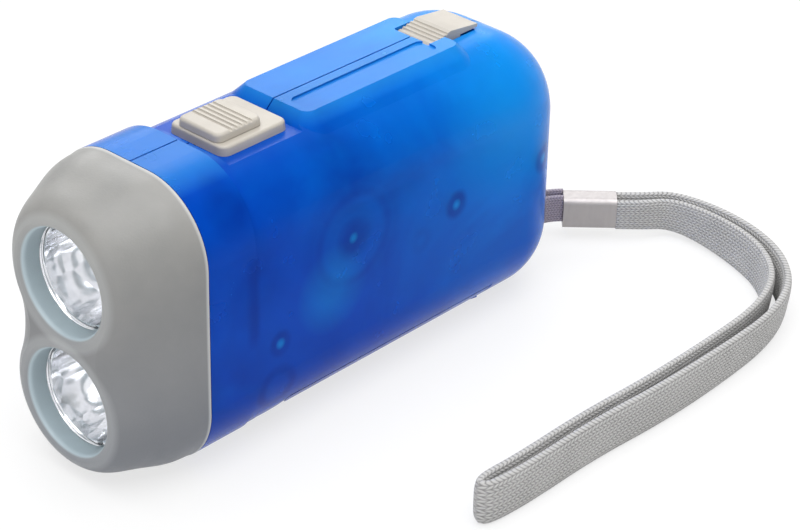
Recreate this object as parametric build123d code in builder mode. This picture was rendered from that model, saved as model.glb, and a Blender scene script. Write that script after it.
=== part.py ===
from build123d import *
import math
import os

# A palm-sized squeeze-lever dynamo torch with two lamps, a wrist strap and a clear blue casing.
# X runs from the lamps (-) to the strap (+), Y across the two casing halves, Z up.
# The origin is under the middle of the torch, on the surface that it stands on. Millimetres.

os.makedirs("parts", exist_ok=True)

# ---------------------------------------------------------------- driving sizes
rim_x = -50.0  # front of the grey head
rear_x = 50.6  # back of the casing
seam_x = -35.5  # joint between the grey head and the casing
seam_gap = 0.15  # fine line that shows at the joints between mouldings
wall = 2.0  # casing wall

collar_half_width = 16.75
collar_top = 49.5
collar_end_x = -23.8
body_half_width = 16.4
body_top = 48.1
edge_radius = 12.4  # long rounded edges of the casing
rear_top_radius = 15.0
rear_bottom_radius = 12.6

saddle_floor = 47.3  # seat of the switch cover
saddle_rear_x = -7.6
pad_top = 49.3  # raised pad behind the switch
pad_front_x = -5.6
pad_rear_x = 29.6
pad_half_width = 7.3
pad_slope = 46.0  # degrees from upright, slope of the pad's sides and ends

lens_spacing = 21.0
lens_height = 23.8  # midway between the two lamps
mouth_radius = 8.8
mouth_depth = 3.4
mouth_round = 1.1  # rounding of the mouths' edges
lens_thickness = 1.2
lip_radius = 11.6  # outside of the head round each lamp
waist_half_width = 9.2  # head between the lamps
head_wall = 2.2
spigot_length = 2.6  # casing lip inside the head
spigot_wall = 1.3

reflector_rim = 0.8  # width of the reflector's front edge
reflector_back_radius = 2.9
reflector_depth = 9.0
led_radius = 2.5
board_x = -33.0  # front face of the lamp board

pivot_x = -21.0  # lever hinge
pivot_z = 10.2
pivot_pin_radius = 1.5
lug_radius = 6.2  # casing lug round the hinge
opening_top = 5.9  # lower edge of the casing's side walls over the lever
lever_gap = 0.3
lever_wall = 1.6
lever_rim = 52.6  # radius of the lever's curved end wall about the hinge
lever_side = 11.8  # half width of the part of the lever inside the casing

rack_teeth = 121  # teeth that a full circle would have
first_pinion_teeth = 11
rack_module = 0.8
rack_direction = 22.2  # degrees above the horizontal, from the hinge to the first gear
wheel_teeth = 24
last_wheel_teeth = 28
pinion_teeth = 12
train_module = 0.5
face_width = 1.8
layer_pitch = 2.2
first_layer_y = -2.5  # near face of the rotor pinion's layer
rack_face = 3.4
backlash = 0.16
axle_radius = 0.75
axle_play = 0.05

rotor_x = -4.4
rotor_z = 30.4
stator_radius = 7.8
stator_standoff = 0.6  # depth of the round seat that holds the stator off the casing wall
stator_seat_radius = 5.5

screw_radius = 1.15
screw_head_radius = 2.2
screw_head_height = 1.5
screw_head_y = 9.0  # the heads sit this far out in the right half's sleeves
post_radius = 2.6

strap_width = 8.0
strap_thickness = 1.7
strap_gap = 1.3  # between the two layers of the strap
eye_inset = 8.0  # from the back of the casing to the pin in the eye
eye_z = 5.75
eye_pin_radius = 1.1
eye_half_width = 4.0
eye_height = 5.7
tape_width = 5.5
tape_thickness = 1.2

clearance = 0.3
seat_gap = 0.02

# ---------------------------------------------------------------- sizes that follow
inner_side = body_half_width - wall
eye_x = rear_x - eye_inset
upper_lens_z = lens_height + lens_spacing / 2
lower_lens_z = lens_height - lens_spacing / 2
lens_front_x = rim_x + mouth_depth
lens_back_x = lens_front_x + lens_thickness
reflector_back_x = lens_back_x + reflector_depth
reflector_front_radius = mouth_radius - reflector_rim
rack_radius = rack_teeth * rack_module / 2
first_pinion_radius = first_pinion_teeth * rack_module / 2
wheel_radius = wheel_teeth * train_module / 2
last_wheel_radius = last_wheel_teeth * train_module / 2
pinion_radius = pinion_teeth * train_module / 2


def polar(origin, distance, degrees):
    """The point (x, z) at a distance and an upward angle from another."""
    angle = math.radians(degrees)
    return (origin[0] + distance * math.cos(angle), origin[1] + distance * math.sin(angle))


def heading(start, end):
    """The upward angle, in degrees, from one point (x, z) to another."""
    return math.degrees(math.atan2(end[1] - start[1], end[0] - start[0]))


def third_corner(start, end, from_start, from_end):
    """The lower corner of the triangle on two points, at given distances from each."""
    base = math.dist(start, end)
    along = (from_start**2 - from_end**2 + base**2) / (2 * base)
    angle = math.degrees(math.acos(along / from_start))
    return polar(start, from_start, heading(start, end) + angle)


pivot = (pivot_x, pivot_z)
rotor_centre = (rotor_x, rotor_z)
drive_centre = polar(pivot, rack_radius - first_pinion_radius, rack_direction)
train_step = wheel_radius + pinion_radius
last_step = last_wheel_radius + pinion_radius
train_bend = 30.0  # how far the train dips below the line from the first gear to the rotor
idler_centre = polar(drive_centre, train_step, heading(drive_centre, rotor_centre) + train_bend)
counter_centre = third_corner(idler_centre, rotor_centre, train_step, last_step)


def across(y):
    """The upright plane at a given y, looking along -Y."""
    return Plane.XZ.offset(-y)


def rounded_block(half_width, bottom, top, rear, edge, top_corner, bottom_corner):
    """A long block along X with round rear corners and round long edges."""
    with BuildPart() as block:
        with BuildSketch(Plane.XZ) as side:
            with BuildLine():
                Polyline(
                    (rim_x - 25, bottom), (rear, bottom), (rear, top), (rim_x - 25, top), close=True
                )
            make_face()
            rear_corners = side.vertices().group_by(Axis.X)[-1].sort_by(Axis.Y)
            fillet(rear_corners[0], bottom_corner)
            rear_corners = side.vertices().group_by(Axis.X)[-1].sort_by(Axis.Y)
            fillet(rear_corners[-1], top_corner)
        extrude(amount=half_width, both=True)
        sides = block.faces().filter_by(Axis.Y)
        fillet(sides.edges().filter_by(lambda e: e.center().X > rim_x - 20), edge)
    return block.part


def casing_block(inset):
    """The casing's full form, made smaller by an inset on every side."""
    body = rounded_block(
        body_half_width - inset,
        inset,
        body_top - inset,
        rear_x - inset,
        edge_radius - inset,
        rear_top_radius - inset,
        rear_bottom_radius - inset,
    )
    collar = rounded_block(
        collar_half_width - inset,
        inset,
        collar_top - inset,
        rear_x - inset,
        edge_radius - inset,
        rear_top_radius - inset,
        rear_bottom_radius - inset,
    )
    collar_slope = 2.0
    with BuildPart() as form:
        add(collar)
        with BuildSketch(across(0)):
            with BuildLine():
                Polyline(
                    (collar_end_x - collar_slope, collar_top + 1),
                    (collar_end_x - collar_slope, body_top - inset),
                    (collar_end_x - collar_slope, -1),
                    (rear_x + 1, -1),
                    (rear_x + 1, collar_top + 1),
                    close=True,
                )
            make_face()
        extrude(amount=collar_half_width + 1, both=True, mode=Mode.SUBTRACT)
        add(body)
        with BuildSketch(across(0)):
            with BuildLine():
                drop = ThreePointArc(
                    (collar_end_x - 2.4 - inset * 0.4, collar_top + 0.01),
                    (collar_end_x - 0.4 - inset * 0.4, collar_top - 0.6),
                    (collar_end_x + 0.7 - inset * 0.4, saddle_floor - inset),
                )
                Polyline(
                    drop @ 1,
                    (saddle_rear_x, saddle_floor - inset),
                    (saddle_rear_x + 1.0, body_top - inset + 0.01),
                    (saddle_rear_x + 1.0, collar_top + 1),
                    (collar_end_x - 2.4 - inset * 0.4, collar_top + 1),
                    drop @ 0,
                )
            make_face()
        extrude(amount=collar_half_width + 1, both=True, mode=Mode.SUBTRACT)
    return form.part


# ---------------------------------------------------------------- casing halves
outer_form = casing_block(0)
inner_form = casing_block(wall)

# The raised pad, with sloping sides, and a sunk panel on the left half.
pad_base = 46.2
pad_corner = 1.6
panel_depth = 0.35
panel_front_x = -4.4
panel_rear_x = 26.0
panel_width = 4.2
panel_y = -4.0
panel_corner = 1.4


def pad_block(inset):
    """The pad's form, made smaller by an inset on its top and sides."""
    spread = (pad_top - inset - pad_base) * math.tan(math.radians(pad_slope))
    with BuildPart() as block:
        for z, growth in ((pad_base, spread), (pad_top - inset, 0.0)):
            with BuildSketch(Plane.XY.offset(z)):
                with Locations(((pad_front_x + pad_rear_x) / 2, 0)):
                    RectangleRounded(
                        pad_rear_x - pad_front_x + 2 * (growth - inset),
                        2 * (pad_half_width + growth - inset),
                        pad_corner + growth,
                    )
        loft(ruled=True)
    return block.part


with BuildPart() as pad:
    add(pad_block(0))
    with BuildSketch(Plane.XY.offset(pad_top - panel_depth)):
        with Locations(((panel_front_x + panel_rear_x) / 2, panel_y)):
            RectangleRounded(panel_rear_x - panel_front_x, panel_width, panel_corner)
    extrude(amount=panel_depth, mode=Mode.SUBTRACT)
    add(inner_form, mode=Mode.SUBTRACT)

# A fine groove where the two halves meet.
with BuildPart() as seam_groove:
    with BuildSketch(across(0)):
        with Locations(((rim_x + rear_x) / 2, collar_top / 2)):
            Rectangle(rear_x - rim_x + 10, collar_top + 10)
    extrude(amount=seam_gap, both=True)
    add(casing_block(0.4), mode=Mode.SUBTRACT)
    add(pad_block(0.4), mode=Mode.SUBTRACT)

# The opening under the side walls that the lever fills, in side view.
opening_rear = lever_rim + 0.4
lug_start = 254.0  # degrees round the hinge
lug_end = 270 + math.degrees(math.acos((pivot_z - opening_top) / lug_radius))
with BuildPart() as lever_opening:
    with BuildSketch(across(0)):
        with BuildLine():
            lug = CenterArc(pivot, lug_radius, lug_start, lug_end - lug_start)
            rear_top = (pivot_x + math.sqrt(opening_rear**2 - (pivot_z - opening_top) ** 2), opening_top)
            Line(lug @ 1, rear_top)
            rear_low = (pivot_x + math.sqrt(opening_rear**2 - pivot_z**2), -0.01)
            rear_angle_top = heading(pivot, rear_top)
            rear_angle_low = heading(pivot, rear_low)
            rear = CenterArc(pivot, opening_rear, rear_angle_top, rear_angle_low - rear_angle_top)
            collar_foot = (pivot_x - 6.2, -0.01)
            Polyline(rear @ 1, (rear_low[0], -3), (collar_foot[0], -3), collar_foot)
            ThreePointArc(collar_foot, (pivot_x - 3.0, 1.7), lug @ 0)
        make_face()
    extrude(amount=body_half_width + 2, both=True)

# Slots through the top: the switch stem's, and the lock button's.
stem_slot = (-18.3, -11.7)
stem_slot_half_width = 1.7
lock_slot = (25.8, 37.3)
lock_slot_half_width = 4.0
with BuildPart() as top_slots:
    with BuildSketch(Plane.XY.offset(body_top - 8)):
        with Locations((sum(stem_slot) / 2, 0)):
            Rectangle(stem_slot[1] - stem_slot[0], 2 * stem_slot_half_width)
        with Locations((sum(lock_slot) / 2, 0)):
            RectangleRounded(lock_slot[1] - lock_slot[0], 2 * lock_slot_half_width, 0.6)
    extrude(amount=14)

# The strap's eye: a pocket in the rear wall, with walls of its own.
eye_front_x = eye_x - 3.4
pocket_wall = 1.1
with BuildPart() as eye_pocket:
    with BuildSketch(Plane.XY.offset(eye_z - eye_height / 2)):
        with Locations(((eye_front_x + rear_x + 2) / 2, 0)):
            Rectangle(rear_x + 2 - eye_front_x, 2 * eye_half_width)
    extrude(amount=eye_height)
    fillet(eye_pocket.edges().filter_by(Axis.Z).group_by(Axis.X)[0], 1.0)
with BuildPart() as eye_walls:
    with BuildSketch(Plane.XY.offset(eye_z - eye_height / 2 - pocket_wall - 2)):
        with Locations(((eye_front_x - pocket_wall + rear_x) / 2, 0)):
            Rectangle(rear_x - eye_front_x + pocket_wall, 2 * (eye_half_width + pocket_wall))
    extrude(amount=eye_height + 2 * pocket_wall + 2)
    add(outer_form, mode=Mode.INTERSECT)

# Screw posts: (x, z) of each of the four screws.
screw_places = [(-20.4, 18.1), (42.1, 26.7), (-29.0, 44.2), (-4.0, 42.4)]
pin_left_end = -(body_half_width - 0.9)
pin_right_end = body_half_width - 0.9
gear_layers = [first_layer_y + layer_pitch * i for i in range(4)]
train_bottom = gear_layers[0] - clearance
# (centre, ends of the left and right bosses, radii of the left and right bosses)
rotor_stack_top = gear_layers[0] + face_width + clearance
bearing_bosses = [
    (drive_centre, gear_layers[2] - 0.4, gear_layers[3] + rack_face + 0.7, 2.1, 2.1),
    (idler_centre, train_bottom, gear_layers[2] + face_width + clearance, 1.8, 1.8),
    (counter_centre, train_bottom - 0.2, gear_layers[1] + face_width + clearance, 1.5, 1.5),
    (rotor_centre, -inner_side + stator_standoff, rotor_stack_top, stator_seat_radius, 2.1),
]
pivot_boss_radius = 4.0
pivot_boss_end = lever_side + clearance
battery_x = -24.6
battery_z = 36.0
battery_radius = 5.8
battery_half_length = 8.1
tab_thickness = 0.3
boards_slot_y = 12.2
main_board_x = -25.0
board_thickness = 1.6


def casing_posts(side_sign):
    """Everything that stands on the inside of one casing half: posts, bosses and board ribs."""
    outside = side_sign * (body_half_width - 0.5)
    with BuildPart() as posts:
        for place in screw_places:
            with BuildSketch(across(0)):
                with Locations(place):
                    Circle(post_radius)
            extrude(amount=-outside)
        for centre, left_end, right_end, left_radius, right_radius in bearing_bosses:
            end = left_end if side_sign < 0 else right_end
            with BuildSketch(across(end)):
                with Locations(centre):
                    Circle(left_radius if side_sign < 0 else right_radius)
            extrude(amount=end - outside)
        with BuildSketch(across(side_sign * pivot_boss_end)):
            with Locations(pivot):
                Circle(pivot_boss_radius)
        extrude(amount=side_sign * pivot_boss_end - outside)
        with BuildSketch(across(side_sign * (battery_half_length + tab_thickness))):
            with Locations((battery_x, battery_z)):
                Circle(3.0)
        extrude(amount=side_sign * (battery_half_length + tab_thickness) - outside)
        for board_front, low, high in ((board_x, 18, 32), (main_board_x, 22, 29)):
            for rib_x in (board_front - 1.0, board_front + board_thickness + 1.0):
                with BuildSketch(across(side_sign * boards_slot_y)):
                    with Locations((rib_x, (low + high) / 2)):
                        Rectangle(2.0 - 2 * 0.05, high - low)
                extrude(amount=side_sign * boards_slot_y - outside)
        add(outer_form, mode=Mode.INTERSECT)
    return posts.part


def casing_holes(side_sign):
    """Pin sockets and screw holes of one casing half."""
    with BuildPart() as holes:
        for place in screw_places:
            with BuildSketch(across(0)):
                with Locations(place):
                    Circle(screw_radius + 0.05)
            extrude(amount=9.0 if side_sign < 0 else -screw_head_y)
            if side_sign > 0:
                with BuildSketch(across(screw_head_y)):
                    with Locations(place):
                        Circle(screw_head_radius + 0.1)
                extrude(amount=-20)
        for centre, *_ in bearing_bosses:
            with BuildSketch(across(0)):
                with Locations(centre):
                    Circle(axle_radius + seat_gap)
            extrude(amount=-side_sign * pin_right_end)
        with BuildSketch(across(0)):
            with Locations(pivot):
                Circle(pivot_pin_radius + seat_gap)
        extrude(amount=-side_sign * pin_right_end)
        with BuildSketch(Plane.XY.offset(eye_z - eye_height / 2 - 0.55)):
            with Locations((eye_x, 0)):
                Circle(eye_pin_radius + seat_gap)
        extrude(amount=eye_height + 1.35)
    return holes.part


def casing_half(side_sign):
    """One moulded half: the hollow form, its posts and holes, cut at the middle plane."""
    with BuildPart() as half:
        add(outer_form)
        add(pad.part)
        add(inner_form, mode=Mode.SUBTRACT)
        add(eye_walls.part)
        add(eye_pocket.part, mode=Mode.SUBTRACT)
        add(lever_opening.part, mode=Mode.SUBTRACT)
        add(top_slots.part, mode=Mode.SUBTRACT)
        add(seam_groove.part, mode=Mode.SUBTRACT)
        split(bisect_by=Plane.YZ.offset(seam_x + seam_gap), keep=Keep.TOP)
        add(casing_spigot)
        add(casing_posts(side_sign))
        add(casing_holes(side_sign), mode=Mode.SUBTRACT)
        split(bisect_by=Plane.XZ, keep=Keep.TOP if side_sign < 0 else Keep.BOTTOM)
    return half.part


def collar_ring(outer_inset, inner_inset, front, rear):
    """A ring of the collar's outline, between two insets and two places along X."""
    with BuildPart() as ring:
        for inset, mode in ((outer_inset, Mode.ADD), (inner_inset, Mode.SUBTRACT)):
            with BuildSketch(Plane.YZ.offset(front)):
                with Locations((0, collar_top / 2)):
                    RectangleRounded(
                        2 * (collar_half_width - inset), collar_top - 2 * inset, edge_radius - inset
                    )
            extrude(amount=rear - front, mode=mode)
    return ring.part


casing_spigot = collar_ring(spigot_wall, 2 * spigot_wall, seam_x - spigot_length, seam_x + 2)
left_shell_part = casing_half(-1)
left_shell_part.label = "left_shell"
export_step(left_shell_part, "parts/left_shell.step")
right_shell_part = casing_half(1)
right_shell_part.label = "right_shell"
export_step(right_shell_part, "parts/right_shell.step")


# ---------------------------------------------------------------- head
def front_outline(angle):
    """The head's front outline, two lobes and a waist, as a distance from its centre."""
    offset_z = lens_spacing / 2
    waist_radius = (lip_radius**2 - waist_half_width**2 - offset_z**2) / (
        2 * (waist_half_width - lip_radius)
    )
    waist_centre = waist_half_width + waist_radius
    level = abs(math.cos(angle))
    rise = abs(math.sin(angle))
    touch = math.atan2(
        offset_z * waist_radius / (waist_radius + lip_radius),
        waist_centre * lip_radius / (waist_radius + lip_radius),
    )
    if math.atan2(rise, level) < touch:
        return waist_centre * level - math.sqrt(waist_radius**2 - (waist_centre * rise) ** 2)
    return offset_z * rise + math.sqrt(lip_radius**2 - (offset_z * level) ** 2)


def rear_outline(angle):
    """The head's rear outline, the collar's rounded rectangle, as a distance from its centre."""
    half_height = collar_top / 2
    level = abs(math.cos(angle))
    rise = abs(math.sin(angle))
    flat_x = collar_half_width - edge_radius
    flat_z = half_height - edge_radius
    if rise * collar_half_width < level * flat_z:
        return collar_half_width / level
    if level * half_height < rise * flat_x:
        return half_height / rise
    off_line = flat_x * rise - flat_z * level
    return flat_x * level + flat_z * rise + math.sqrt(edge_radius**2 - off_line**2)


def head_section(x, share, inset):
    """A closed smooth outline of the head at one place, from the front's form (0) to the rear's (1)."""
    count = 56
    with BuildSketch(Plane.YZ.offset(x)) as section:
        with BuildLine():
            points = []
            for i in range(count):
                angle = 2 * math.pi * i / count
                reach = (1 - share) * front_outline(angle) + share * rear_outline(angle) - inset
                centre_z = (1 - share) * lens_height + share * collar_top / 2
                points.append((reach * math.cos(angle), centre_z + reach * math.sin(angle)))
            Spline(*points, periodic=True)
        make_face()
    return section.sketch


def head_share(x):
    """How far the head has grown from its front form to its rear form."""
    return 1 - (1 - (x - rim_x) / (seam_x - rim_x)) ** 1.7


lip_round = [(0.0, 1.7), (0.5, 0.75), (1.7, 0.0)]  # (behind the rim, inset) of the rounded lip
head_stations = [(rim_x + back, inset) for back, inset in lip_round]
head_stations += [(x, 0.0) for x in (-45.0, -41.5, -38.5, seam_x)]
tube_rear_x = -40.0
with BuildPart() as head_shell:
    for station, inset in head_stations:
        add(head_section(station, head_share(station), inset))
    loft()
    for station in (lens_front_x + 1.0, -43.0, -40.0, seam_x):
        add(head_section(station, head_share(station), head_wall))
    loft(mode=Mode.SUBTRACT)
    add(
        collar_ring(spigot_wall - 0.1, 2 * spigot_wall + 2, seam_x - spigot_length - 0.2, seam_x + 1),
        mode=Mode.SUBTRACT,
    )
    for lens_z in (upper_lens_z, lower_lens_z):
        with BuildSketch(Plane.YZ.offset(lens_front_x)):
            with Locations((0, lens_z)):
                Circle(mouth_radius + 1.3)
        extrude(amount=tube_rear_x - lens_front_x)
    for lens_z in (upper_lens_z, lower_lens_z):
        with BuildSketch(Plane(origin=(0, 0, lens_z), x_dir=(1, 0, 0), z_dir=(0, -1, 0))):
            with BuildLine():
                flare = ThreePointArc(
                    (rim_x - 0.01, mouth_radius + mouth_round),
                    (rim_x + mouth_round * 0.29, mouth_radius + mouth_round * 0.29),
                    (rim_x + mouth_round, mouth_radius),
                )
                Polyline(
                    flare @ 1,
                    (tube_rear_x + 1, mouth_radius),
                    (tube_rear_x + 1, 0),
                    (rim_x - 1, 0),
                    (rim_x - 1, mouth_radius + mouth_round),
                    flare @ 0,
                )
            make_face()
        revolve(axis=Axis((0, 0, lens_z), (1, 0, 0)), mode=Mode.SUBTRACT)
head_shell.part.label = "head_shell"
export_step(head_shell.part, "parts/head_shell.step")


def lamp_pieces(name, lens_z):
    """The lens, reflector and light-emitting diode of one lamp."""
    lens_plane = Plane(origin=(0, 0, lens_z), x_dir=(1, 0, 0), z_dir=(0, -1, 0))
    with BuildPart() as lens:
        with BuildSketch(Plane.YZ.offset(lens_front_x)):
            with Locations((0, lens_z)):
                Circle(mouth_radius - 0.1)
        extrude(amount=lens_thickness)
        chamfer(lens.edges().group_by(Axis.X)[0], 0.25)
    lens.part.label = f"{name}_lens"
    export_step(lens.part, f"parts/{name}_lens.step")

    skin = 0.8
    cup_front = lens_back_x + 0.05
    middle_x = cup_front + reflector_depth * 0.45
    middle_radius = reflector_front_radius * 0.83
    with BuildPart() as reflector:
        with BuildSketch(lens_plane):
            with BuildLine():
                inner = ThreePointArc(
                    (cup_front, reflector_front_radius),
                    (middle_x, middle_radius),
                    (reflector_back_x, reflector_back_radius),
                )
                outer = ThreePointArc(
                    (cup_front + 1.0, mouth_radius - 0.1),
                    (middle_x + 0.5, middle_radius + skin),
                    (reflector_back_x, reflector_back_radius + skin + 0.4),
                )
                Line(inner @ 1, outer @ 1)
                Polyline(inner @ 0, (cup_front, mouth_radius - 0.1), outer @ 0)
            make_face()
        revolve(axis=Axis((0, 0, lens_z), (1, 0, 0)))
    reflector.part.label = f"{name}_reflector"
    export_step(reflector.part, f"parts/{name}_reflector.step")

    dome_x = reflector_back_x - 5.6
    flange_x = reflector_back_x + 0.1
    flange_radius = led_radius + 0.4
    with BuildPart() as led:
        with BuildSketch(lens_plane):
            with BuildLine():
                dome = ThreePointArc(
                    (dome_x, 0),
                    (dome_x + led_radius * (1 - math.sqrt(0.5)), led_radius * math.sqrt(0.5)),
                    (dome_x + led_radius, led_radius),
                )
                Polyline(
                    dome @ 1,
                    (flange_x, led_radius),
                    (flange_x, flange_radius),
                    (flange_x + 1.0, flange_radius),
                    (flange_x + 1.0, 0),
                    dome @ 0,
                )
            make_face()
        revolve(axis=Axis((0, 0, lens_z), (1, 0, 0)))
        with BuildSketch(Plane.YZ.offset(flange_x + 1.0)):
            with Locations((-1.27, lens_z), (1.27, lens_z)):
                Rectangle(0.5, 0.5)
        extrude(amount=board_x + board_thickness + 0.4 - flange_x - 1.0)
    led.part.label = f"{name}_led"
    export_step(led.part, f"parts/{name}_led.step")


lamp_pieces("upper", upper_lens_z)
lamp_pieces("lower", lower_lens_z)

with BuildPart() as lamp_board:
    with BuildSketch(Plane.YZ.offset(board_x)):
        with Locations((0, 24.5)):
            RectangleRounded(26.8, 33, 4)
        with Locations((-1.27, upper_lens_z), (1.27, upper_lens_z)):
            Rectangle(0.6, 0.6, mode=Mode.SUBTRACT)
        with Locations((-1.27, lower_lens_z), (1.27, lower_lens_z)):
            Rectangle(0.6, 0.6, mode=Mode.SUBTRACT)
    extrude(amount=board_thickness)
lamp_board.part.label = "lamp_board"
export_step(lamp_board.part, "parts/lamp_board.step")

# ---------------------------------------------------------------- switch
cover_front_x = -22.3
cover_rear_x = -8.3
cover_top = 48.9
cover_half_width = 6.3
cover_slot = (-18.4, -11.6)
with BuildPart() as switch_cover:
    with BuildSketch(Plane.XY.offset(saddle_floor)):
        with Locations(((cover_front_x + cover_rear_x) / 2, 0)):
            RectangleRounded(cover_rear_x - cover_front_x, 2 * cover_half_width, 1.6)
    extrude(amount=cover_top - saddle_floor, taper=6)
    fillet(switch_cover.edges().group_by(Axis.Z)[-1], 0.5)
    with BuildSketch(Plane.XY.offset(saddle_floor)):
        with Locations((sum(cover_slot) / 2, 0)):
            Rectangle(cover_slot[1] - cover_slot[0], 3.4)
    extrude(amount=cover_top, mode=Mode.SUBTRACT)
switch_cover.part.label = "switch_cover"
export_step(switch_cover.part, "parts/switch_cover.step")

knob_front_x = -21.9
knob_length = 9.6
knob_base = cover_top + 0.1
knob_height = 1.35
knob_half_width = 4.7
stem_x = -16.6
with BuildPart() as switch_knob:
    with BuildSketch(Plane.XY.offset(knob_base)):
        with Locations((knob_front_x + knob_length / 2, 0)):
            RectangleRounded(knob_length, 2 * knob_half_width, 1.3)
    extrude(amount=knob_height, taper=6)
    fillet(switch_knob.edges().group_by(Axis.Z)[-1], 0.6)
    with BuildSketch(Plane.XZ.offset(-knob_half_width)):
        for groove in range(5):
            with Locations((knob_front_x + 3.0 + groove * 1.05, knob_base + knob_height)):
                Circle(0.32)
    extrude(amount=2 * knob_half_width, mode=Mode.SUBTRACT)
    with BuildSketch(Plane.XY.offset(43.3)):
        with Locations((stem_x, 0)):
            Rectangle(2.4, 2.6)
    extrude(amount=knob_base - 43.3 + 0.5)
switch_knob.part.label = "switch_knob"
export_step(switch_knob.part, "parts/switch_knob.step")

can_top = saddle_floor - wall - 0.05
with BuildPart() as slide_switch:
    with BuildSketch(Plane.XY.offset(can_top - 3.6)):
        with Locations((-15.0, 0)):
            Rectangle(9.4, 6.6)
    extrude(amount=3.6)
    with BuildSketch(Plane.XY.offset(43.0)):
        with Locations((-15.0, 0)):
            Rectangle(6.8, 3.2)
    extrude(amount=3, mode=Mode.SUBTRACT)
    with BuildSketch(Plane.XY.offset(can_top - 3.6)):
        with GridLocations(2.5, 0, 3, 1):
            with Locations((-15.0, 0)):
                Rectangle(0.5, 1.2)
    extrude(amount=-1.8)
slide_switch.part.label = "slide_switch"
export_step(slide_switch.part, "parts/slide_switch.step")

# ---------------------------------------------------------------- power store and main board
with BuildPart() as battery:
    with BuildSketch(across(battery_half_length)):
        with Locations((battery_x, battery_z)):
            Circle(battery_radius)
    extrude(amount=2 * battery_half_length)
    for joint_y in (-battery_half_length / 3, battery_half_length / 3):
        with BuildSketch(across(joint_y + 0.2)):
            with Locations((battery_x, battery_z)):
                Circle(battery_radius + 1)
                Circle(battery_radius - 0.35, mode=Mode.SUBTRACT)
        extrude(amount=0.4, mode=Mode.SUBTRACT)
battery.part.label = "battery"
export_step(battery.part, "parts/battery.step")

with BuildPart() as battery_tabs:
    for side_sign in (-1, 1):
        start = side_sign * battery_half_length
        with BuildSketch(across(start)):
            with Locations((battery_x, battery_z - 3.6)):
                RectangleRounded(3.0, 5.8, 1.2)
            with Locations((battery_x, battery_z)):
                Circle(3.0)
        extrude(amount=-side_sign * (tab_thickness - 0.02))
battery_tabs.part.label = "battery_tabs"
export_step(battery_tabs.part, "parts/battery_tabs.step")

with BuildPart() as main_board:
    with BuildSketch(Plane.YZ.offset(main_board_x)):
        with Locations((0, 22.2)):
            Rectangle(26.8, 14.4)
    extrude(amount=board_thickness)
main_board.part.label = "main_board"
export_step(main_board.part, "parts/main_board.step")

with BuildPart() as rectifier_diodes:
    with BuildSketch(Plane.YZ.offset(main_board_x)):
        with GridLocations(5.0, 4.2, 2, 2):
            with Locations((0, 24.5)):
                RectangleRounded(3.6, 2.0, 0.3)
    extrude(amount=-1.4)
rectifier_diodes.part.label = "rectifier_diodes"
export_step(rectifier_diodes.part, "parts/rectifier_diodes.step")


# ---------------------------------------------------------------- gears
pressure_angle = math.radians(20)


def involute(angle):
    return math.tan(angle) - angle


def flank(teeth, module, radius):
    """Half of a tooth's angle at a radius, for involute teeth thinned by the backlash."""
    pitch = teeth * module / 2
    base = pitch * math.cos(pressure_angle)
    here = involute(math.acos(min(1.0, base / max(radius, base))))
    return math.pi / (2 * teeth) - backlash / (2 * pitch) + involute(pressure_angle) - here


def gear_outline(centre, teeth, module, phase):
    """The closed outline of an external gear with a tooth centred on the phase, in degrees."""
    pitch = teeth * module / 2
    base = pitch * math.cos(pressure_angle)
    root = pitch - 1.2 * module
    tip = pitch + 0.82 * module
    low = max(base, root + 0.1 * module)
    radii = [root, low, (low + tip) / 2, tip]
    points = []
    for tooth in range(teeth):
        middle = math.radians(phase) + 2 * math.pi * tooth / teeth
        halves = [flank(teeth, module, max(radius, low)) for radius in radii]
        for radius, half in zip(radii, halves):
            points.append(polar(centre, radius, math.degrees(middle - half)))
        for radius, half in zip(reversed(radii), reversed(halves)):
            points.append(polar(centre, radius, math.degrees(middle + half)))
    return points


def gear_disc(centre, teeth, module, phase, low_y, thickness, bore):
    """A toothed disc on an upright plane, with a bore."""
    with BuildPart() as disc:
        with BuildSketch(across(low_y + thickness)):
            with BuildLine():
                Polyline(*gear_outline(centre, teeth, module, phase), close=True)
            make_face()
            with Locations(centre):
                Circle(bore, mode=Mode.SUBTRACT)
        extrude(amount=thickness)
    return disc.part


def compound_gear(name, centre, wheel, wheel_phase, wheel_y, small, small_phase, small_y, small_width):
    """A wheel and a pinion moulded in one, turning on its axle."""
    bore = axle_radius + axle_play
    with BuildPart() as gear:
        add(gear_disc(centre, wheel, train_module, wheel_phase, wheel_y, face_width, bore))
        module = rack_module if small == first_pinion_teeth else train_module
        add(gear_disc(centre, small, module, small_phase, small_y, small_width, bore))
    gear.part.label = name
    export_step(gear.part, f"parts/{name}.step")


to_idler = heading(drive_centre, idler_centre)
to_counter = heading(idler_centre, counter_centre)
to_rotor = heading(counter_centre, rotor_centre)
half_tooth = 180 / pinion_teeth
pinion_width = layer_pitch

compound_gear(
    "drive_gear",
    drive_centre,
    wheel_teeth,
    to_idler,
    gear_layers[2],
    first_pinion_teeth,
    rack_direction,
    gear_layers[2] + face_width,
    rack_face + 0.8,
)
compound_gear(
    "idler_gear",
    idler_centre,
    wheel_teeth,
    to_counter,
    gear_layers[1],
    pinion_teeth,
    to_idler + 180 + half_tooth,
    gear_layers[1] + face_width,
    pinion_width,
)
compound_gear(
    "counter_gear",
    counter_centre,
    last_wheel_teeth,
    to_rotor,
    gear_layers[0],
    pinion_teeth,
    to_counter + 180 + half_tooth,
    gear_layers[0] + face_width,
    pinion_width,
)

# ---------------------------------------------------------------- rotor and stator
magnet_radius = 5.7
claw_inner = 6.2
claw_outer = stator_radius
claw_count = 6
claw_spread = 22.0  # degrees of the circle that each claw covers
stator_back = -inner_side + stator_standoff
coil_front = stator_back + 4.6
claw_end = -5.4
flywheel_y = (-4.5, -3.0)
magnet_y = (-8.2, -4.6)

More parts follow.
